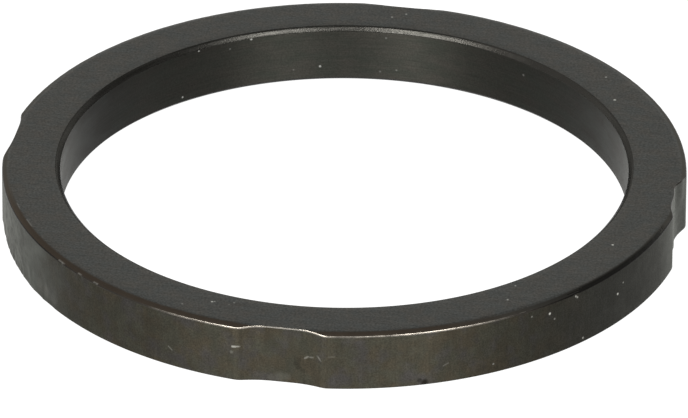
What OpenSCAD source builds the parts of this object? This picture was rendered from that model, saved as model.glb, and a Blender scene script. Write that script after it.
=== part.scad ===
// Flat steel ring washer: a turned ring with a chamfered bore, a shallow bevel round
// its upper rim and scalloped notches milled through the rim from face to face.
// The origin is at the centre of the lower face, the bore axis is Z, and one notch faces +X.

/* [Ring] */
// Diameter of the bore
bore_d = 83; // [60:0.5:120]
// Radial width of the ring from the bore to the rim
ring_w = 8.5; // [5:0.1:16]
// Height of the ring from face to face
ring_h = 9; // [4:0.1:16]

/* [Edges] */
// Radial width of the shallow bevel round the upper rim
bevel_w = 1.2; // [0.4:0.1:1.6]
// Drop of that bevel from the upper face to the rim
bevel_drop = 0.4; // [0.1:0.05:1]
// Leg of the 45 degree chamfer at each end of the bore
bore_chamfer = 0.55; // [0.1:0.05:1]
// Leg of the small 45 degree edge break round the lower rim
edge_break = 0.15; // [0.05:0.05:0.5]

/* [Rim notches] */
// Number of notches, evenly spaced round the rim
notch_count = 4; // [1:1:8]
// Depth of a notch below the rim at its middle
notch_depth = 1.15; // [0.4:0.05:1.8]
// Diameter of the cutter that leaves the round ends of a notch
notch_cutter_d = 30; // [10:1:44]
// Straight run of the notch floor between its round ends
notch_run = 3; // [1:0.5:8]

/* [Hidden] */
bore_r = bore_d / 2;
outer_r = bore_r + ring_w;
// How far a cutter passes each face of the ring
cut_past = 1;
$fn = 240;

// Half section of the ring, with the radius along X and the height along Y
module ring_section() {
    polygon([
        [bore_r, bore_chamfer],
        [bore_r + bore_chamfer, 0],
        [outer_r - edge_break, 0],
        [outer_r, edge_break],
        [outer_r, ring_h - bevel_drop],
        [outer_r - bevel_w, ring_h],
        [bore_r + bore_chamfer, ring_h],
        [bore_r, ring_h - bore_chamfer]
    ]);
}

// Space swept by an upright cutter that enters the rim at +X and travels along its tangent
module notch_sweep() {
    floor_x = outer_r - notch_depth;
    sweep_h = ring_h + 2 * cut_past;
    translate([0, 0, -cut_past]) {
        for (side = [-1, 1])
            translate([floor_x + notch_cutter_d / 2, side * notch_run / 2, 0])
                cylinder(d = notch_cutter_d, h = sweep_h);
        translate([floor_x, -notch_run / 2, 0])
            cube([notch_cutter_d, notch_run, sweep_h]);
    }
}

module washer() {
    color("#484845")
        difference() {
            rotate_extrude()
                ring_section();
            for (i = [0 : notch_count - 1])
                rotate([0, 0, i * 360 / notch_count])
                    notch_sweep();
        }
}

washer();
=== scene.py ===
import math

import bmesh
import bpy
from mathutils import Matrix, Vector


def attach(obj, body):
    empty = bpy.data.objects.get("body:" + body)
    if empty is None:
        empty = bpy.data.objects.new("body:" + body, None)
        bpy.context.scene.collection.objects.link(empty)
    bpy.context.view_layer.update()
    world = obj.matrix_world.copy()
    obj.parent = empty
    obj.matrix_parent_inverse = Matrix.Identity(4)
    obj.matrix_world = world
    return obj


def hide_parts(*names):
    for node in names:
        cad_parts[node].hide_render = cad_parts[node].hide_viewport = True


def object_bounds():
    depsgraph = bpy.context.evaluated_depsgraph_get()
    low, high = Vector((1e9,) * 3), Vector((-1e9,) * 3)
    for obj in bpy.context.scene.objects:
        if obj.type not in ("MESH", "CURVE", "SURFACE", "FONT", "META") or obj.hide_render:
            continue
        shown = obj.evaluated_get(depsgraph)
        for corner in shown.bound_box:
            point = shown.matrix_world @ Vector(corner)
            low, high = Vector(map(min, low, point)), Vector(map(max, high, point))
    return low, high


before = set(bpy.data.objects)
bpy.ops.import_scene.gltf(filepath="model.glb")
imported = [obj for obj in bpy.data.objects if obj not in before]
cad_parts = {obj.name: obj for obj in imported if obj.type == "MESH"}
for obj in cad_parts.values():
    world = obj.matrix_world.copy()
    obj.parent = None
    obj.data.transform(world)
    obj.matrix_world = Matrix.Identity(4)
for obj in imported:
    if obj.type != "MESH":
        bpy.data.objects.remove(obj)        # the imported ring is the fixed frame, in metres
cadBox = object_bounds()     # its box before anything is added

mm = 0.001

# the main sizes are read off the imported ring, so the dressed ring follows it
solidRadii = [vert.co.to_2d().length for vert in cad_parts["washer"].data.vertices]
boreRadius = min(solidRadii)
rimRadius = max(solidRadii)
ringHeight = cadBox[1].z
ringWidth = rimRadius - boreRadius
print(f'ring read: bore {boreRadius / mm:.2f}, rim {rimRadius / mm:.2f}, height {ringHeight / mm:.2f} mm')

washer = {
    'boreChamfer': 0.6 * mm,
    'bevelWidth': 1.0 * mm,        # upper rim, before its corners are rubbed round
    'bevelDrop': 0.36 * mm,
    'edgeBreak': 0.15 * mm,        # round the lower rim
    'notchDepth': 1.15 * mm,
    'notchRun': 3 * mm,            # straight floor between the round ends
    'cutterRadius': 15 * mm,
    'notches': 4,
    'cornerSoft': 0.3 * mm,        # how far a notch corner is worn over
    'columns': 270,                # section copies in the quarter that holds one notch
    'rimCuts': 15,                 # rows of points down the rim and the bore, and across the faces
    'boreCuts': 3,
    'faceCuts': 4,
    'flatCuts': 2,                 # across each chamfer and the bevel, which keeps them flat
    # degrees round from +X where the bevel is narrower, and by how much
    'narrowed': ((199, 222, 0.1 * mm), (318, 352, 0.28 * mm)),
    'narrowSteps': 8,
    'narrowClear': 0.02 * mm,      # left as it is beside the rim edge
    'flatLeast': 0.12 * mm,        # what falls and runs further than this is a chamfer or the bevel
    'stillBand': 2.4 * mm,         # the upper face keeps its place further in from the rim than this
    'mergeWithin': 0.0005 * mm,
    'smoothAngle': 35,             # degrees
}

# rounding of each corner of the section, as rubbed by handling: size and segments
cornerWear = {
    'bevelTop': (0.25 * mm, 5),
    'rimEdge': (0.16 * mm, 6),
    'boreTop': (0.22 * mm, 5),
    'boreEdge': (0.05 * mm, 3),
    'lowerRim': (0.05 * mm, 2),
}
justPast = 1.1                     # a corner is picked with a little room round it
hair = 0.0001 * mm


def cleanSelection():
    if bpy.context.object and bpy.context.object.mode != 'OBJECT':
        bpy.ops.object.mode_set(mode='OBJECT')
    bpy.ops.object.select_all(action='DESELECT')


def pickVerts(piece, test):
    mesh = bmesh.from_edit_mesh(piece.data)
    bpy.ops.mesh.select_mode(type='VERT')
    bpy.ops.mesh.select_all(action='DESELECT')
    for vert in mesh.verts:
        if test(vert.co):
            vert.select_set(True)
    mesh.select_flush_mode()
    bmesh.update_edit_mesh(piece.data)


def pickFaces(piece, test):
    mesh = bmesh.from_edit_mesh(piece.data)
    bpy.ops.mesh.select_mode(type='FACE')
    bpy.ops.mesh.select_all(action='DESELECT')
    for face in mesh.faces:
        if test(face.calc_center_median(), face.normal):
            face.select_set(True)
    mesh.select_flush_mode()
    bmesh.update_edit_mesh(piece.data)


def pickEdges(piece, test):
    mesh = bmesh.from_edit_mesh(piece.data)
    bpy.ops.mesh.select_mode(type='EDGE')
    bpy.ops.mesh.select_all(action='DESELECT')
    for edge in mesh.edges:
        if test(edge.verts[0].co, edge.verts[1].co):
            edge.select_set(True)
    mesh.select_flush_mode()
    bmesh.update_edit_mesh(piece.data)


def near(value, wanted, within=0.002 * mm):
    return abs(value - wanted) < within


# degrees round from +X
def turnOf(co):
    return math.degrees(math.atan2(co.y, co.x)) % 360


# direction at a turn from +X and a rise from the floor, in degrees
def pointing(turn, rise=0):
    turn, rise = math.radians(turn), math.radians(rise)
    return Vector((math.cos(turn) * math.cos(rise), math.sin(turn) * math.cos(rise), math.sin(rise)))


# the half section stands on the XZ plane: a plane with its corners cut and then rubbed round
def drawSection():
    w = washer
    cleanSelection()
    midRadius = boreRadius + ringWidth / 2
    bpy.ops.mesh.primitive_plane_add(size=1, location=(midRadius, 0, ringHeight / 2),
                                     rotation=(math.pi / 2, 0, 0))
    ring = bpy.context.object
    ring.name = 'washerRing'
    ring.scale = (ringWidth, ringHeight, 1)
    bpy.ops.object.transform_apply(location=True, rotation=True, scale=True)
    bpy.ops.object.mode_set(mode='EDIT')

    pickVerts(ring, lambda co: near(co.x, boreRadius))
    bpy.ops.mesh.bevel(offset=w['boreChamfer'], affect='VERTICES')
    pickVerts(ring, lambda co: near(co.x, rimRadius) and near(co.z, 0))
    bpy.ops.mesh.bevel(offset=w['edgeBreak'], affect='VERTICES')
    # the rim bevel starts as a 45 degree cut, and its lower end is then lifted
    pickVerts(ring, lambda co: near(co.x, rimRadius) and near(co.z, ringHeight))
    bpy.ops.mesh.bevel(offset=w['bevelWidth'], affect='VERTICES')
    pickVerts(ring, lambda co: near(co.x, rimRadius) and near(co.z, ringHeight - w['bevelWidth']))
    bpy.ops.transform.translate(value=(0, 0, w['bevelWidth'] - w['bevelDrop']))

    corners = {
        'rimEdge': lambda co: near(co.x, rimRadius) and co.z > ringHeight / 2,
        'bevelTop': lambda co: near(co.x, rimRadius - w['bevelWidth']) and near(co.z, ringHeight),
        'boreTop': lambda co: near(co.x, boreRadius + w['boreChamfer']),
        'boreEdge': lambda co: near(co.x, boreRadius),
        'lowerRim': lambda co: max(rimRadius - co.x, co.z) < w['edgeBreak'] * justPast,
    }
    for corner, isThere in corners.items():
        size, segments = cornerWear[corner]
        pickVerts(ring, isThere)
        bpy.ops.mesh.bevel(offset=size, segments=segments, affect='VERTICES')

    bpy.ops.mesh.select_all(action='SELECT')
    bpy.ops.mesh.delete(type='ONLY_FACE')
    # a few more points along the wall, the faces and the flats, for the dents
    pickEdges(ring, lambda a, b: abs(a.z - b.z) > ringHeight / 2 and a.x > midRadius)
    bpy.ops.mesh.subdivide(number_cuts=w['rimCuts'])
    pickEdges(ring, lambda a, b: abs(a.z - b.z) > ringHeight / 2)
    bpy.ops.mesh.subdivide(number_cuts=w['boreCuts'])
    pickEdges(ring, lambda a, b: abs(a.x - b.x) > ringWidth / 2)
    bpy.ops.mesh.subdivide(number_cuts=w['faceCuts'])
    pickEdges(ring, lambda a, b: min(abs(a.x - b.x), abs(a.z - b.z)) > w['flatLeast'])
    bpy.ops.mesh.subdivide(number_cuts=w['flatCuts'])
    print('section drawn')
    return ring


# where the rim runs at an angle from a notch's middle: the cutter's path, or the turned rim outside it
def rimAt(angle):
    w = washer
    floorX = rimRadius - w['notchDepth']
    notchRim = floorX / math.cos(angle)
    if notchRim * abs(math.sin(angle)) > w['notchRun'] / 2:
        centre = Vector((floorX + w['cutterRadius'], w['notchRun'] / 2))
        reach = centre.x * math.cos(angle) + centre.y * abs(math.sin(angle))
        inside = reach ** 2 - centre.length_squared + w['cutterRadius'] ** 2
        notchRim = reach - math.sqrt(inside) if inside > 0 else rimRadius * 2    # clear of the cutter
    soft = w['cornerSoft']
    blend = max(soft - abs(notchRim - rimRadius), 0) / soft
    return min(notchRim, rimRadius) - blend ** 2 * soft / 4


# how far the worn bevel has dropped at a radius: a long curve, then straight to the rim
def bevelDropAt(radius):
    w = washer
    size = cornerWear['bevelTop'][0]
    lean = math.atan2(w['bevelDrop'], w['bevelWidth'])
    start = rimRadius - w['bevelWidth'] - size
    curveEnd = start + size * (1 + math.cos(lean))
    if radius < start:
        return 0
    if radius < curveEnd:
        return size * math.sin(lean) * ((radius - start) / (curveEnd - start)) ** 2
    return w['bevelDrop'] - (rimRadius - radius) * math.tan(lean)


# one quarter of the ring is turned, and its rim columns are slid in to the cutter's path
def turnQuarter(ring):
    w = washer
    quarter = 2 * math.pi / w['notches']
    bpy.ops.mesh.select_all(action='SELECT')
    bpy.ops.transform.rotate(value=-quarter / 2, orient_axis='Z', center_override=(0, 0, 0))
    bpy.ops.mesh.spin(steps=w['columns'], angle=quarter, center=(0, 0, 0), axis=(0, 0, 1))

    reach = cornerWear['rimEdge'][0] * justPast
    lowerReach = w['edgeBreak'] * 1.5     # takes in the rounded lower corner
    still = rimRadius - w['stillBand']
    mesh = bmesh.from_edit_mesh(ring.data)
    columns = {}
    for vert in mesh.verts:
        angle = math.atan2(vert.co.y, vert.co.x)
        if rimAt(angle) < rimRadius - hair:
            columns.setdefault(round(angle, 5), []).append(vert)
    for angle, column in columns.items():
        cut = rimAt(angle) - rimRadius
        drop = bevelDropAt(rimRadius + cut)
        parts = {'wall': [], 'edge': [], 'bevel': []}
        for vert in column:
            radius = vert.co.to_2d().length
            if vert.co.z < ringHeight / 2:
                if radius > rimRadius - lowerReach:
                    parts['wall'].append(vert)
            elif vert.co.z < ringHeight - w['bevelDrop'] - reach:
                if radius > rimRadius - reach:
                    parts['wall'].append(vert)
            elif radius > rimRadius - reach:
                parts['edge'].append(vert)
            elif radius > still:
                parts['bevel'].append(vert)
        outward = Vector((math.cos(angle), math.sin(angle), 0))
        for part, up in (('wall', 0), ('edge', w['bevelDrop'] - drop)):
            bpy.ops.mesh.select_all(action='DESELECT')
            for vert in parts[part]:
                vert.select_set(True)
            bpy.ops.transform.translate(value=outward * cut + Vector((0, 0, up)))
        # the bevel is squeezed into what the notch leaves of it
        bpy.ops.mesh.select_all(action='DESELECT')
        for vert in parts['bevel']:
            vert.select_set(True)
        room = rimRadius - reach - still
        squeeze = (room + cut) / room
        bpy.ops.transform.resize(value=(squeeze, squeeze, drop / w['bevelDrop']),
                                 center_override=outward * still + Vector((0, 0, ringHeight)))
    # nothing stands above the ground face
    pickVerts(ring, lambda co: co.z > ringHeight)
    bpy.ops.transform.resize(value=(1, 1, 0), center_override=(0, 0, ringHeight))
    print('quarter turned and its notch milled')


def closeRing(ring):
    w = washer
    rest = w['notches'] - 1
    bpy.ops.mesh.select_all(action='SELECT')
    bpy.ops.mesh.spin(steps=rest, angle=2 * math.pi * rest / w['notches'], dupli=True,
                      center=(0, 0, 0), axis=(0, 0, 1))
    bpy.ops.mesh.select_all(action='SELECT')
    bpy.ops.mesh.remove_doubles(threshold=w['mergeWithin'])
    bpy.ops.mesh.normals_make_consistent(inside=False)
    print('ring closed')


# the bevel's inner side is drawn out where it is narrower, in small steps so that no jog shows
def narrowBevel(ring):
    w = washer
    lean = math.cos(math.atan2(w['bevelDrop'], w['bevelWidth']))
    flatStart = rimRadius - w['bevelWidth'] + cornerWear['bevelTop'][0] * lean
    flatEnd = rimRadius - cornerWear['rimEdge'][0] * lean
    innerEnd = rimRadius - w['bevelWidth'] - cornerWear['bevelTop'][0] * justPast
    outerEnd = flatEnd - w['narrowClear']
    mesh = bmesh.from_edit_mesh(ring.data)
    for start, end, amount in w['narrowed']:
        shares = {}
        for vert in mesh.verts:
            turn = turnOf(vert.co)
            radius = vert.co.to_2d().length
            if start < turn < end and vert.co.z > ringHeight / 2 and innerEnd < radius < outerEnd:
                share = min(1, (flatEnd - radius) / (flatEnd - flatStart))
                shares.setdefault(round(share, 1), []).append((turn, vert))
        for step in range(w['narrowSteps']):
            for share, verts in shares.items():
                bpy.ops.mesh.select_all(action='DESELECT')
                for turn, vert in verts:
                    if start + step < turn < end - step:
                        vert.select_set(True)
                grow = 1 + amount * share / w['narrowSteps'] / rimRadius
                bpy.ops.transform.resize(value=(grow, grow, 1), center_override=(0, 0, 0))
    print('bevel narrowed')


# damage from handling: waviness of the rubbed edge, a scuffed stretch of the rim, and single dents
wear = {
    'edgeGrain': 1.3 * mm,
    'edgeDepth': 0.04 * mm,
    'scuffTurns': (192, 216),      # degrees round from +X
    'scuffGrain': 0.9 * mm,
    'scuffDepth': 0.05 * mm,
    'scuffSkin': 0.3 * mm,         # only points this close to the rim are scuffed,
    'scuffTop': 1 * mm,            # and this far below the upper face
    # degrees round from +X, radius and height in mm, then the size and depth of the dent
    'dents': (
        (225.6, 49.9, 8.6, 0.6 * mm, 0.14 * mm), (231.1, 49.9, 8.6, 0.5 * mm, 0.12 * mm),
        (234.6, 49.9, 8.6, 0.6 * mm, 0.12 * mm), (322.4, 50, 8.4, 0.6 * mm, 0.12 * mm),
        (293.8, 50, 0.5, 0.8 * mm, 0.18 * mm), (273.6, 49.1, 4.7, 1.5 * mm, 0.06 * mm),
    ),
    # chips with a sharper border along the scuffed stretch, in the same way
    'chips': (
        (195.5, 50, 1.0, 3.0 * mm, 0.15 * mm), (200.0, 50, 0.8, 2.6 * mm, 0.16 * mm),
        (204.2, 50, 1.4, 2.6 * mm, 0.15 * mm), (208.6, 50, 0.7, 2.6 * mm, 0.15 * mm),
        (212.6, 50, 1.2, 2.0 * mm, 0.10 * mm), (197.5, 50, 4.4, 2.4 * mm, 0.08 * mm),
        (202.5, 50, 5.2, 2.0 * mm, 0.07 * mm), (207.0, 50, 4.2, 2.2 * mm, 0.07 * mm),
        (218.0, 50, 2.4, 2.6 * mm, 0.10 * mm), (222.0, 50, 2.0, 2.2 * mm, 0.09 * mm),
    ),
    # the notches aren't quite alike: turn of a column of the rim, its lowest and highest point in mm,
    # how far out it stands, and the reach of that
    'uneven': (
        (176.5, 0, 9, 0.15 * mm, 4.5 * mm), (180.5, 0, 9, 0.15 * mm, 4.5 * mm),
        (184.5, 0, 9, 0.15 * mm, 4.5 * mm), (187.2, 0, 9, -0.1 * mm, 1.5 * mm),
        (2.6, 0, 9, -0.3 * mm, 2.6 * mm), (5.0, 0, 3.5, -0.15 * mm, 2.0 * mm),
        (5.0, 6.5, 9, 0.15 * mm, 1.8 * mm), (353.8, 0, 9, 0.15 * mm, 1.3 * mm),
    ),
    'columnDepth': 1.6 * mm,       # in from the rim
    'columnHalf': 0.2,             # half its width, in degrees
}


# pushes the picked points in by up to one depth, unevenly
def roughen(ring, name, grain, depth):
    bpy.ops.object.vertex_group_add()
    ring.vertex_groups.active.name = name
    bpy.ops.object.vertex_group_assign()
    bpy.ops.object.mode_set(mode='OBJECT')
    clouds = bpy.data.textures.new(name, 'CLOUDS')
    clouds.noise_scale = grain
    bpy.ops.object.modifier_add(type='DISPLACE')
    push = ring.modifiers[-1]
    push.texture = clouds
    push.texture_coords = 'LOCAL'
    push.vertex_group = name
    push.mid_level = 1
    push.strength = depth
    bpy.ops.object.modifier_apply(modifier=push.name)
    bpy.ops.object.mode_set(mode='EDIT')


def wearRing(ring):
    w = wear
    cleanSelection()
    ring.select_set(True)
    bpy.context.view_layer.objects.active = ring
    bpy.ops.object.mode_set(mode='EDIT')

    bpy.ops.mesh.select_all(action='DESELECT')
    ring.active_material_index = ring.data.materials.find('rubbedEdgeSteel')
    bpy.ops.object.material_slot_select()
    roughen(ring, 'edgeWaviness', w['edgeGrain'], w['edgeDepth'])
    start, end = w['scuffTurns']
    onScuffs = lambda co: start < turnOf(co) < end and co.to_2d().length > rimRadius - w['scuffSkin']
    pickVerts(ring, lambda co: onScuffs(co) and co.z < ringHeight - w['scuffTop'])
    roughen(ring, 'rimScuffs', w['scuffGrain'], w['scuffDepth'])

    for falloff, knocks in (('SMOOTH', w['dents']), ('SPHERE', w['chips'])):
        for turn, radius, rise, size, depth in knocks:
            outward = pointing(turn)
            place = outward * radius * mm + Vector((0, 0, rise * mm))
            mesh = bmesh.from_edit_mesh(ring.data)
            nearest = min(mesh.verts, key=lambda vert: (vert.co - place).length_squared)
            bpy.ops.mesh.select_all(action='DESELECT')
            nearest.select_set(True)
            bpy.ops.transform.translate(value=-outward * depth, use_proportional_edit=True,
                                        proportional_edit_falloff=falloff, proportional_size=size)
    for turn, low, high, out, reach in w['uneven']:
        onRimSide = lambda co: co.to_2d().length > rimRadius - w['columnDepth']
        onColumn = lambda co: onRimSide(co) and abs(turnOf(co) - turn) < w['columnHalf']
        pickVerts(ring, lambda co: onColumn(co) and low * mm <= co.z <= high * mm)
        bpy.ops.transform.translate(value=pointing(turn) * out, use_proportional_edit=True,
                                    proportional_edit_falloff='SMOOTH', proportional_size=reach)
    bpy.ops.object.mode_set(mode='OBJECT')
    print('edge, scuffs and dents worn in')


# camera at the photograph's angle; the picture is 688 x 418
picture = {
    'width': 688,
    'azimuth': 10.4,       # degrees, from looking along +Y
    'elevation': 29.44,
    'roll': 0.236,
    'distance': 1.823,     # metres to the ring's middle
    'lens': 652.4,         # mm
    'sensor': 36,
    'ringRight': 0.27,     # pixels from the picture's middle to the ring's
    'ringUp': 18.47,
    'clipEnd': 20,
}


def placeCamera():
    p = picture
    turn = math.radians(p['azimuth'])
    tilt = math.radians(p['elevation'])
    roll = math.radians(p['roll'])
    back = Vector((math.sin(turn) * math.cos(tilt), -math.cos(turn) * math.cos(tilt), math.sin(tilt)))
    level = Vector((math.cos(turn), math.sin(turn), 0))
    upright = back.cross(level)
    right = level * math.cos(roll) + upright * math.sin(roll)
    up = upright * math.cos(roll) - level * math.sin(roll)
    pixel = p['distance'] * p['sensor'] / p['lens'] / p['width']
    aim = Vector((0, 0, ringHeight / 2)) - right * p['ringRight'] * pixel - up * p['ringUp'] * pixel
    cleanSelection()
    bpy.ops.object.camera_add(location=aim + back * p['distance'])
    camera = bpy.context.object
    camera.rotation_euler = Matrix((right, up, back)).transposed().to_euler()
    camera.data.lens = p['lens']
    camera.data.sensor_width = p['sensor']
    camera.data.clip_end = p['clipEnd']
    bpy.context.scene.camera = camera
    print('camera placed')


studio = {
    'floorSize': 8,
    'floorColour': (0.12, 0.12, 0.12),
    'floorRoughness': 0.9,
    'floorGlow': 1.02,
    'tint': (1.0, 1.0, 0.95),          # the room is a little warm
    'room': (0.22, 0.5),               # on its dark side and on its pale side
    'roomRamp': (-0.7, 0.7),           # cosines from the pale side where those two are reached
    'paleSide': (190.4, 40),           # where that is: its turn from +X and its rise, degrees
    'windowTurn': 105.4,
    'windowSide': (0.2, 0.7),          # cosines from that turn where the window's light starts and is full
    'windowTop': (0.66, 0.44),         # sines of the rise where it has faded and where it is full
    'windowGlow': 1.18,
    'boxSize': 0.26,
    'boxDistance': 0.8,
    'boxRise': 58,                     # degrees above the floor
    'boxTurns': (239.4, 318.4),        # degrees round from +X
    'boxPower': (3.3, 2.4),
}


# how far a direction points along a turn and a rise
def along(tree, direction, turn, rise):
    dot = addNode(tree, 'VectorMath', operation='DOT_PRODUCT')
    tree.links.new(direction, dot.inputs[0])
    dot.inputs[1].default_value = pointing(turn, rise)
    return dot.outputs['Value']


def buildStudio():
    s = studio
    cleanSelection()
    bpy.ops.mesh.primitive_plane_add(size=s['floorSize'], location=(0, 0, 0))
    floor = bpy.context.object
    floor.name = 'studioFloor'
    paper = bpy.data.materials.new('palePaper')
    paper.use_nodes = True
    tree = paper.node_tree
    shader = tree.nodes['Principled BSDF']
    shader.inputs['Base Color'].default_value = (*s['floorColour'], 1)
    shader.inputs['Roughness'].default_value = s['floorRoughness']
    shader.inputs['Specular IOR Level'].default_value = 0
    shader.inputs['Emission Color'].default_value = (1, 1, 1, 1)
    shader.inputs['Emission Strength'].default_value = s['floorGlow']
    floor.data.materials.append(paper)

    for turn, power in zip(s['boxTurns'], s['boxPower']):
        towards = pointing(turn, s['boxRise'])
        bpy.ops.object.light_add(type='AREA', location=towards * s['boxDistance'])
        box = bpy.context.object
        box.rotation_euler = towards.to_track_quat('Z', 'Y').to_euler()
        box.data.size = s['boxSize']
        box.data.energy = power
        box.data.color = s['tint']
        box.visible_camera = False

    world = bpy.data.worlds.new('studioWorld')
    world.use_nodes = True
    tree = world.node_tree
    direction = addNode(tree, 'TexCoord').outputs['Generated']
    sideways = remap(tree, along(tree, direction, s['windowTurn'], 0), *s['windowSide'])
    upward = remap(tree, along(tree, direction, 0, 90), *s['windowTop'], 0, s['windowGlow'])
    room = remap(tree, along(tree, direction, *s['paleSide']), *s['roomRamp'], *s['room'])
    strength = calculate(tree, 'MAXIMUM', room, calculate(tree, 'MULTIPLY', sideways, upward))
    tree.nodes['Background'].inputs['Color'].default_value = (*s['tint'], 1)
    tree.links.new(strength, tree.nodes['Background'].inputs['Strength'])
    bpy.context.scene.world = world
    bpy.context.scene.view_settings.view_transform = 'Standard'
    print('studio built')


# small helpers for the finishes
def addNode(tree, kind, **values):
    node = tree.nodes.new('ShaderNode' + kind)
    for name, value in values.items():
        setattr(node, name, value)
    return node


# object coordinates, stretched and shifted
def ringPlace(tree, stretch=(1, 1, 1), shift=(0, 0, 0)):
    coords = addNode(tree, 'TexCoord')
    mapping = addNode(tree, 'Mapping')
    mapping.inputs['Scale'].default_value = stretch
    mapping.inputs['Location'].default_value = shift
    tree.links.new(coords.outputs['Object'], mapping.inputs['Vector'])
    return mapping.outputs['Vector']


# soft patches of about one grain across, from 0 to 1
def addPatches(tree, grain, stretch=(1, 1, 1), detail=3, low=0.35, high=0.65, shift=(0, 0, 0)):
    noise = addNode(tree, 'TexNoise')
    noise.inputs['Scale'].default_value = 1 / grain
    noise.inputs['Detail'].default_value = detail
    tree.links.new(ringPlace(tree, stretch, shift), noise.inputs['Vector'])
    return remap(tree, noise.outputs['Fac'], low, high)


def remap(tree, source, low, high, toLow=0, toHigh=1):
    ranged = addNode(tree, 'MapRange')
    for socket, value in zip(('From Min', 'From Max', 'To Min', 'To Max'), (low, high, toLow, toHigh)):
        ranged.inputs[socket].default_value = value
    tree.links.new(source, ranged.inputs['Value'])
    return ranged.outputs['Result']


def calculate(tree, operation, first, second):
    sums = addNode(tree, 'Math', operation=operation)
    for socket, value in zip(sums.inputs, (first, second)):
        if isinstance(value, (int, float)):
            socket.default_value = value
        else:
            tree.links.new(value, socket)
    return sums.outputs['Value']


# colours may be given as three numbers or as another node's output
def mixColours(tree, factor, first, second):
    mix = addNode(tree, 'Mix', data_type='RGBA')
    tree.links.new(factor, mix.inputs[0])
    for socket, colour in ((mix.inputs[6], first), (mix.inputs[7], second)):
        if isinstance(colour, tuple):
            socket.default_value = (*colour, 1)
        else:
            tree.links.new(colour, socket)
    return mix.outputs[2]


# pale dust, small bright nicks and a painted highlight line, each at its own place on the ring
def addSpecks(tree, specks, core=0.4):
    coords = addNode(tree, 'TexCoord')
    together = None
    for turn, radius, rise, size, pale in specks:
        turn = math.radians(turn)
        away = addNode(tree, 'VectorMath', operation='DISTANCE')
        tree.links.new(coords.outputs['Object'], away.inputs[0])
        away.inputs[1].default_value = (radius * mm * math.cos(turn), radius * mm * math.sin(turn), rise * mm)
        dot = remap(tree, away.outputs['Value'], size * mm, size * mm * core, 0, pale)
        together = dot if together is None else calculate(tree, 'MAXIMUM', together, dot)
    return together


# a dash or scratch as a close row of dots, from one turn and height to another
def dashOf(startTurn, startRise, endTurn, endRise, radius, size, pale, dots=9):
    steps = [step / (dots - 1) for step in range(dots)]
    turns = [startTurn + (endTurn - startTurn) * step for step in steps]
    rises = [startRise + (endRise - startRise) * step for step in steps]
    return tuple((turn, radius, rise, size, pale) for turn, rise in zip(turns, rises))


# stray dust all round, one grain in some of the cells of a loose pattern
def addDust(tree, spacing, size, fade=(0.55, 0.95), core=0.5):
    cells = addNode(tree, 'TexVoronoi')
    cells.inputs['Scale'].default_value = 1 / spacing
    tree.links.new(ringPlace(tree), cells.inputs['Vector'])
    share = addNode(tree, 'SeparateColor')
    tree.links.new(cells.outputs['Color'], share.inputs['Color'])
    some = remap(tree, share.outputs['Red'], *fade)
    grains = remap(tree, cells.outputs['Distance'], size / spacing, size / spacing * core)
    return calculate(tree, 'MULTIPLY', grains, some)


# the place on the ring with its height left out
def flatPlace(tree):
    flat = addNode(tree, 'VectorMath', operation='MULTIPLY')
    flat.inputs[1].default_value = (1, 1, 0)
    tree.links.new(addNode(tree, 'TexCoord').outputs['Object'], flat.inputs[0])
    return flat.outputs['Vector']


# distance from the ring's axis
def ringRadius(tree):
    length = addNode(tree, 'VectorMath', operation='LENGTH')
    tree.links.new(flatPlace(tree), length.inputs[0])
    return length.outputs['Value']


# 1 on the side of the ring at a turn, falling to 0 between two angles from it
def ringSide(tree, turn, nearHalf, farHalf):
    outward = addNode(tree, 'VectorMath', operation='NORMALIZE')
    tree.links.new(flatPlace(tree), outward.inputs[0])
    facing = along(tree, outward.outputs['Vector'], turn, 0)
    return remap(tree, facing, math.cos(math.radians(farHalf)), math.cos(math.radians(nearHalf)))


# paints light and shade on some sides of the ring, making a colour paler or darker there: turn, angles where
# that fades, and gain
def paintLightOnSides(tree, colour, paintedGains):
    for *side, gain in paintedGains:
        scaled = addNode(tree, 'VectorMath', operation='SCALE')
        tree.links.new(colour, scaled.inputs[0])
        tree.links.new(remap(tree, ringSide(tree, *side), 0, 1, 1, 1 + gain), scaled.inputs['Scale'])
        colour = scaled.outputs['Vector']
    return colour


# the oxide is a dark mirror: its colour is how much it gives back
def startSteel(look):
    steel = bpy.data.materials.new(look['name'])
    steel.use_nodes = True
    tree = steel.node_tree
    shader = tree.nodes['Principled BSDF']
    shader.inputs['Metallic'].default_value = 1
    shader.inputs['Specular Tint'].default_value = (*look.get('grazing', (1, 1, 1)), 1)
    shader.inputs['Anisotropic'].default_value = look.get('brushed', 0)
    shader.inputs['Anisotropic Rotation'].default_value = 0.25    # spread across the turning marks
    return steel, tree, shader


def finishSteel(tree, shader, look, colour, patches, height, dust=None):
    # on the rubbed edge the specks include a painted highlight line
    if dust:
        colour = mixColours(tree, dust, colour, look['dust'])
        tree.links.new(remap(tree, dust, 0, 1, 1, 0), shader.inputs['Metallic'])
    tree.links.new(colour, shader.inputs['Base Color'])
    low, high = look['roughness']
    tree.links.new(remap(tree, patches, 0, 1, low, high), shader.inputs['Roughness'])
    bump = addNode(tree, 'Bump')
    bump.inputs['Distance'].default_value = look['relief']
    tree.links.new(height, bump.inputs['Height'])
    tree.links.new(bump.outputs['Normal'], shader.inputs['Normal'])


# every pattern of a look, by its name
def layPatterns(tree, look):
    return {name: addPatches(tree, **values) for name, values in look['patterns'].items()}


# darkens a colour in the hollows of some patterns
def darken(tree, colour, patterns, shares, hollow):
    for name, share in shares.items():
        colour = mixColours(tree, remap(tree, patterns[name], 0, 1, share, 0), colour, hollow)
    return colour


# a look's own specks, with the stray dust between them
def layDust(tree, look):
    return calculate(tree, 'MAXIMUM', addSpecks(tree, look['specks']), addDust(tree, *look['strayDust']))


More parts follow.
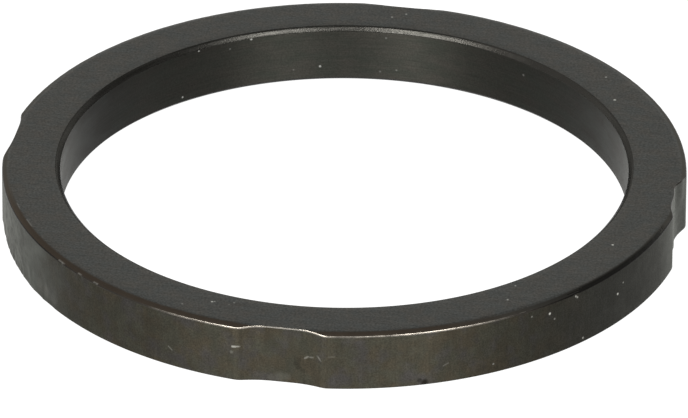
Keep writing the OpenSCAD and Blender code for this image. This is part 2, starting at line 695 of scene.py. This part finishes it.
# pale nicks in the rim edge, which cross from the bevel on to the edge itself:
# turn and height of both ends, radius, size, paleness and number of dots
nicks = (
    *dashOf(224.9, 8.8, 225.9, 8.72, 49.85, 0.24, 0.3, 5),
    *dashOf(226.0, 8.72, 226.5, 8.8, 49.85, 0.2, 0.22, 3),
    *dashOf(230.4, 8.78, 231.0, 8.72, 49.85, 0.22, 0.26, 4),
    *dashOf(234.3, 8.76, 235.1, 8.7, 49.85, 0.22, 0.28, 4),
    *dashOf(310.8, 8.75, 311.8, 8.72, 49.9, 0.14, 0.16, 5),
)

groundLook = {
    'name': 'groundFaceSteel',
    'warm': (0.133, 0.127, 0.1195),
    'cool': (0.1245, 0.129, 0.128),
    'hollow': (0.034, 0.034, 0.0335),     # between the grinding marks
    'bevel': (0.072, 0.069, 0.063),       # scale that the wheel never reached
    'bevelBrown': (0.071, 0.057, 0.046),
    'bevelDark': (0.038, 0.0355, 0.033),
    'brownSide': (252, 44, 62),           # turn of the bevel's brown stretch, and angles where it fades
    'darkSide': (331, 6, 20),             # and of its dark one
    'wideBevel': (1.1 * mm, 0.8 * mm),    # in from the rim, where the brown scale starts and is full
    'slimBevel': (0.85 * mm, 0.6 * mm),   # and the scale elsewhere
    'grazing': (0.5, 0.5, 0.5),           # the ground scale is dull when seen along it
    'dust': (0.42, 0.42, 0.40),
    'strayDust': (9 * mm, 0.11 * mm),     # its spacing and size
    'roughness': (0.30, 0.36),
    'relief': 0.004 * mm,
    'patterns': {
        'tone': dict(grain=2 * mm, detail=4),
        'grain': dict(grain=0.32 * mm, detail=3, low=0.32, high=0.68),
        'lines': dict(grain=0.3 * mm, stretch=(0.06, 1, 1), detail=2, low=0.3, high=0.7),
    },
    'shares': {'grain': 0.55, 'lines': 0.3},     # how far each pattern darkens the steel
    # degrees round from +X, radius, height, size in mm, paleness
    'specks': (
        (91.5, 45.37, 9, 0.22, 0.5), (89.1, 46.68, 9, 0.22, 0.55), (44.9, 46.87, 9, 0.22, 0.5),
        (36.6, 44.37, 9, 0.28, 0.7), (255.5, 44.8, 9, 0.24, 0.7), (311.0, 46.12, 9, 0.22, 0.5),
        (315.0, 43.36, 9, 0.2, 0.45), (339.0, 45.45, 9, 0.24, 0.8), (251.1, 47.3, 9, 0.2, 0.25),
        (259.4, 43.8, 9, 0.22, 0.3), (255.9, 44.6, 9, 0.18, 0.4), (258.8, 44.6, 9, 0.16, 0.2),
        *dashOf(204.7, 9, 206.7, 9, 49, 0.13, 0.15), *dashOf(210.6, 9, 213.0, 9, 48.97, 0.13, 0.24),
        *nicks,
    ),
}


# satin grey of the ground faces, with fine grinding lines, turning brown down the worn bevel
def groundFaceSteel():
    look = groundLook
    steel, tree, shader = startSteel(look)
    patterns = layPatterns(tree, look)
    colour = mixColours(tree, patterns['tone'], look['warm'], look['cool'])
    colour = darken(tree, colour, patterns, look['shares'], look['hollow'])
    onFront = ringSide(tree, *look['brownSide'])
    radius = ringRadius(tree)
    wide = remap(tree, radius, *(rimRadius - inset for inset in look['wideBevel']))
    slim = remap(tree, radius, *(rimRadius - inset for inset in look['slimBevel']))
    outer = calculate(tree, 'MAXIMUM', slim, calculate(tree, 'MULTIPLY', wide, onFront))
    scale = mixColours(tree, onFront, look['bevel'], look['bevelBrown'])
    scale = mixColours(tree, ringSide(tree, *look['darkSide']), scale, look['bevelDark'])
    colour = mixColours(tree, outer, colour, scale)
    finishSteel(tree, shader, look, colour, patterns['tone'], patterns['grain'], layDust(tree, look))
    return steel


rimLook = {
    'name': 'mottledRimSteel',
    'brown': (0.125, 0.108, 0.079),
    'olive': (0.120, 0.117, 0.091),
    'violet': (0.125, 0.117, 0.112),
    'plain': (0.115, 0.116, 0.104),       # away from the front, where the scale is thin
    'stain': (0.026, 0.024, 0.019),
    'scuffed': (0.172, 0.178, 0.162),
    'warmSide': (272, 38, 56),            # turn of the brown stretch, and angles where it fades
    'scuffSide': (205, 11, 23),           # of the scuffed stretch
    'pitSide': (200, 6, 16),              # of the pitted part of that
    'paleSide': (2, 7, 15),               # and of a paler stretch, about the right notch
    'pitShare': 0.4,
    'paleShare': (0.6, 1),
    # painted shade on darker stretches: turn, angles where they fade, and how dark they are
    'paintedShadeSides': ((325, 4, 22, 0.3), (253, 3, 11, 0.08)),
    # painted light and shade: stretches that give back more or less, so that the front notch doesn't stand
    # out too much
    'paintedGains': (
        (260, 1.2, 2.6, -0.11), (264.6, 1.8, 2.8, 0.2), (270.5, 2.6, 3.6, -0.07), (274.5, 0.7, 1.8, -0.17),
        (276.9, 0.4, 1.0, -0.15), (278.2, 0.2, 0.8, 0.1), (282, 0.8, 1.8, 0.09), (286, 8, 11, 0.14),
        (302, 3, 8, -0.12),
    ),
    'dust': (0.55, 0.54, 0.50),
    'strayDust': (8 * mm, 0.1 * mm),
    'brushed': 0.92,
    'roughness': (0.62, 0.69),
    'relief': 0.005 * mm,
    'patterns': {
        'tone': dict(grain=3 * mm, detail=5, low=0.4, high=0.6),
        'cast': dict(grain=3 * mm, detail=3, low=0.5, high=0.7, shift=(0.1, 0.2, 0.3)),
        'streaks': dict(grain=0.4 * mm, stretch=(1, 1, 0.1), detail=3),
        'turned': dict(grain=0.12 * mm, stretch=(0.02, 0.02, 1), detail=2),
        'grain': dict(grain=0.22 * mm, detail=3, low=0.32, high=0.68),
        'blotches': dict(grain=2.2 * mm, detail=5, low=0.38, high=0.62, shift=(0.3, 0.1, 0.2)),
        'scuffs': dict(grain=3 * mm, detail=5, low=0.25, high=0.7),
        'rough': dict(grain=0.6 * mm, detail=4, low=0.3, high=0.7),
        'pits': dict(grain=0.9 * mm, detail=4, low=0.5, high=0.62, shift=(0.2, 0.3, 0.1)),
    },
    'shares': {'streaks': 0.14, 'blotches': 0.18, 'grain': 0.46},
    'specks': (
        (316.6, 50, 7.08, 0.26, 1.0), (332.5, 50, 4.87, 0.26, 0.9), (323.9, 50, 0.75, 0.24, 0.6),
        (313.0, 50, 7.58, 0.2, 0.4), (317.6, 50, 5.94, 0.22, 0.4), (334.0, 50, 6.19, 0.2, 0.5),
        (322.2, 50, 8.2, 0.24, 0.7), (322.5, 50, 7.95, 0.22, 0.6), (305.8, 50, 1.52, 0.2, 0.4),
        *dashOf(261.85, 5.52, 262.35, 5.58, 50, 0.22, 0.6, 4),
        *dashOf(262.65, 5.62, 263.15, 5.66, 50, 0.2, 0.55, 4),
        (261.7, 50, 4.6, 0.34, 0.14),
        *dashOf(250.3, 3.1, 250.9, 2.7, 50, 0.18, 0.2, 4),
        *dashOf(273.9, 4.4, 274.5, 4.75, 49.1, 0.2, 0.26, 5),
        *dashOf(274.7, 4.7, 275.4, 4.8, 49.3, 0.18, 0.2, 5),
        *dashOf(276.0, 5.2, 276.7, 4.5, 49.7, 0.18, 0.22, 6),
        *dashOf(278.0, 5.3, 278.8, 5.35, 50, 0.18, 0.1, 5),
        (269.6, 48.95, 0.9, 1.1, 0.07), (268.2, 48.95, 0.7, 0.8, 0.05), (270.8, 48.95, 1.0, 0.8, 0.06),
        *dashOf(297.0, 2.8, 297.8, 3.1, 50, 0.16, 0.14, 5),
        (218.6, 50, 1.9, 1.4, 0.06), (221.0, 50, 1.8, 1.5, 0.08), (223.2, 50, 1.5, 1.2, 0.06),
    ),
    # dark stains, in the same way
    'stains': (
        (272.7, 48.95, 4.0, 0.6, 0.35), (272.5, 48.95, 3.4, 0.6, 0.45), (272.8, 48.95, 2.8, 0.6, 0.4),
        (273.5, 48.95, 2.3, 0.5, 0.3), (293.8, 50, 0.4, 0.7, 0.9),
        (292.9, 50, 0.9, 0.5, 0.6),
    ),
}


# the turned rim under its mottled brown and green scale
def mottledRimSteel():
    look = rimLook
    steel, tree, shader = startSteel(look)
    patterns = layPatterns(tree, look)
    colour = mixColours(tree, patterns['tone'], look['brown'], look['olive'])
    colour = mixColours(tree, patterns['cast'], colour, look['violet'])
    colour = mixColours(tree, ringSide(tree, *look['warmSide']), look['plain'], colour)
    colour = darken(tree, colour, patterns, look['shares'], look['stain'])
    # painted shade: these stretches of the rim are darkened towards the stain colour
    for *side, share in look['paintedShadeSides']:
        colour = mixColours(tree, remap(tree, ringSide(tree, *side), 0, 1, 0, share), colour, look['stain'])
    # painted light and shade on stretches of the rim
    colour = paintLightOnSides(tree, colour, look['paintedGains'])
    colour = mixColours(tree, addSpecks(tree, look['stains']), colour, look['stain'])
    scuffs = calculate(tree, 'MULTIPLY', patterns['scuffs'], ringSide(tree, *look['scuffSide']))
    pale = remap(tree, patterns['rough'], 0, 1, *look['paleShare'])
    pale = calculate(tree, 'MULTIPLY', pale, ringSide(tree, *look['paleSide']))
    colour = mixColours(tree, calculate(tree, 'MAXIMUM', scuffs, pale), colour, look['scuffed'])
    pitted = remap(tree, ringSide(tree, *look['pitSide']), 0, 1, 0, look['pitShare'])
    colour = mixColours(tree, calculate(tree, 'MULTIPLY', patterns['pits'], pitted), colour, look['stain'])
    finishSteel(tree, shader, look, colour, patterns['tone'], patterns['turned'], layDust(tree, look))
    return steel


boreLook = {
    'name': 'turnedBoreSteel',
    'dark': (0.051, 0.0535, 0.0460),
    'pale': (0.068, 0.0645, 0.0570),
    'stain': (0.018, 0.018, 0.015),
    # painted light and shade: stretches that are paler or darker, turn, angles where that fades, and gain
    'paintedGains': (
        (54, 8, 34, -0.24), (147, 10, 36, -0.24), (100, 14, 26, 0.22), (161, 4, 14, -0.25),
        (14, 6, 16, 0.2), (187, 6, 16, 0.2),
    ),
    'dust': (0.45, 0.45, 0.43),
    'strayDust': (10 * mm, 0.1 * mm),
    'brushed': 0.95,
    'roughness': (0.45, 0.51),
    'relief': 0.005 * mm,
    'patterns': {
        'tone': dict(grain=1.6 * mm, stretch=(0.4, 0.4, 1), detail=5),
        'turned': dict(grain=0.16 * mm, stretch=(0.02, 0.02, 1), detail=2),
        'grain': dict(grain=0.25 * mm, detail=3, low=0.32, high=0.68),
    },
    'shares': {'turned': 0.2, 'grain': 0.36},
    'specks': (
        (91.9, 41.5, 7.49, 0.22, 0.2), (105.5, 41.5, 2.5, 0.24, 0.8), (135.9, 41.5, 1.3, 0.22, 0.7),
        (60.7, 41.5, 6.32, 0.24, 0.25), (131.9, 41.5, 8.28, 0.22, 0.7), (120.0, 41.5, 8.28, 0.24, 0.9),
        (93.1, 41.5, 1.73, 0.2, 0.2), (89.7, 41.5, 2.18, 0.2, 0.22), (111.0, 41.5, 2.18, 0.18, 0.2),
        (124.7, 41.5, 7.3, 0.18, 0.25),
    ),
}


# the bore is plainer than the rim, with fine turning marks round it
def turnedBoreSteel():
    look = boreLook
    steel, tree, shader = startSteel(look)
    patterns = layPatterns(tree, look)
    colour = mixColours(tree, patterns['tone'], look['dark'], look['pale'])
    colour = darken(tree, colour, patterns, look['shares'], look['stain'])
    # painted light and shade on stretches of the bore
    colour = paintLightOnSides(tree, colour, look['paintedGains'])
    finishSteel(tree, shader, look, colour, patterns['tone'], patterns['turned'], layDust(tree, look))
    return steel


chamferLook = {
    'name': 'groovedChamferSteel',
    'dark': (0.0285, 0.028, 0.0255),
    'pale': (0.054, 0.052, 0.0495),
    'paintedSheen': (0.062, 0.059, 0.055),
    'sheenSide': (54, 12, 26),          # turn of a stretch painted paler as sheen, and angles where it fades
    'grazing': (0.5, 0.5, 0.5),
    'roughness': (0.25, 0.31),
    'relief': 0.008 * mm,
    'patterns': {
        'tone': dict(grain=3 * mm),
        'grooves': dict(grain=0.2 * mm, stretch=(0.03, 0.03, 1), detail=1),
        'grain': dict(grain=0.2 * mm, detail=2),
    },
}


# the chamfer shows the grooves of the tool that cut it
def groovedChamferSteel():
    look = chamferLook
    steel, tree, shader = startSteel(look)
    patterns = layPatterns(tree, look)
    rough = calculate(tree, 'ADD', patterns['grooves'], patterns['grain'])
    colour = mixColours(tree, remap(tree, rough, 0, 2), look['dark'], look['pale'])
    # a stretch of the chamfer is painted paler as sheen
    colour = mixColours(tree, ringSide(tree, *look['sheenSide']), colour, look['paintedSheen'])
    finishSteel(tree, shader, look, colour, patterns['tone'], rough)
    return steel


edgeLook = {
    'name': 'rubbedEdgeSteel',
    'oxide': (0.021, 0.019, 0.017),
    'oxidePaintedSheen': (0.058, 0.052, 0.046),
    'oxidePaintedShade': (0.019, 0.0182, 0.017),
    'bare': (0.52, 0.475, 0.425),
    # turns of stretches where the oxide is painted paler as sheen, and angles where that fades
    'paintedSheenSides': ((240, 8, 18), (311, 4, 11), (358, 4, 9)),
    'darkSide': (337, 10, 26),         # of one where the oxide is painted darker as shade
    'rubbedSide': (278, 16, 32),       # of the stretch that is rubbed bare
    'dullSide': (284, 3, 6.5),         # and of a duller part of that
    'rubbedShare': (0.35, 1),
    'dullShare': 0.55,
    'dust': (0.5, 0.48, 0.45),
    # painted highlight: a pale line along the edge of the front notch's floor, partly bare worn steel
    'specks': (*nicks, *dashOf(267.8, 8.93, 273.4, 8.93, 48.87, 0.32, 0.36, 14)),
    'roughness': (0.34, 0.25),
    'relief': 0.008 * mm,
    'patterns': {'patches': dict(grain=1.8 * mm, detail=4, low=0.3, high=0.6)},
}


# the rim edge is rubbed almost through to bare steel along one side
def rubbedEdgeSteel():
    look = edgeLook
    steel, tree, shader = startSteel(look)
    patches = layPatterns(tree, look)['patches']
    rubbed = remap(tree, patches, 0, 1, *look['rubbedShare'])
    rubbed = calculate(tree, 'MULTIPLY', rubbed, ringSide(tree, *look['rubbedSide']))
    duller = remap(tree, ringSide(tree, *look['dullSide']), 0, 1, 1, look['dullShare'])
    rubbed = calculate(tree, 'MULTIPLY', rubbed, duller)
    oxide = look['oxide']
    # painted sheen and painted shade on stretches of the edge's oxide
    for side in look['paintedSheenSides']:
        oxide = mixColours(tree, ringSide(tree, *side), oxide, look['oxidePaintedSheen'])
    oxide = mixColours(tree, ringSide(tree, *look['darkSide']), oxide, look['oxidePaintedShade'])
    colour = mixColours(tree, rubbed, oxide, look['bare'])
    # the specks are pale nicks and the painted highlight line along the front notch's edge
    finishSteel(tree, shader, look, colour, rubbed, patches, addSpecks(tree, look['specks']))
    return steel


# how far up a normal points on a face, on the bevel and on an edge, at the least
faceUp = 0.985
bevelUp = 0.9
edgeUp = 0.04
onRim = lambda centre: centre.to_2d().length > boreRadius + ringWidth / 2
onBevel = lambda centre, normal: onRim(centre) and centre.z > ringHeight / 2 and normal.z > bevelUp
zones = (
    (groundFaceSteel, lambda centre, normal: abs(normal.z) > faceUp or onBevel(centre, normal)),
    (rubbedEdgeSteel, lambda centre, normal: onRim(centre) and edgeUp < normal.z <= bevelUp),
    (mottledRimSteel, lambda centre, normal: onRim(centre) and -faceUp <= normal.z <= edgeUp),
    (groovedChamferSteel, lambda centre, normal: not onRim(centre) and edgeUp < abs(normal.z) <= faceUp),
    (turnedBoreSteel, lambda centre, normal: not onRim(centre) and abs(normal.z) <= edgeUp),
)


def paintRing(ring):
    cleanSelection()
    ring.select_set(True)
    bpy.context.view_layer.objects.active = ring
    bpy.ops.object.mode_set(mode='EDIT')
    for makeSteel, isThere in zones:
        ring.data.materials.append(makeSteel())
        ring.active_material_index = len(ring.data.materials) - 1
        pickFaces(ring, isThere)
        bpy.ops.object.material_slot_assign()
    bpy.ops.object.mode_set(mode='OBJECT')
    print('finishes laid on')


ring = drawSection()
turnQuarter(ring)
closeRing(ring)
narrowBevel(ring)
bpy.ops.object.mode_set(mode='OBJECT')
bpy.ops.object.shade_smooth_by_angle(angle=math.radians(washer['smoothAngle']))
paintRing(ring)
wearRing(ring)
ring.data.calc_loop_triangles()
print('ring has', len(ring.data.loop_triangles), 'triangles')
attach(ring, "root")
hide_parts("washer")

placeCamera()
buildStudio()
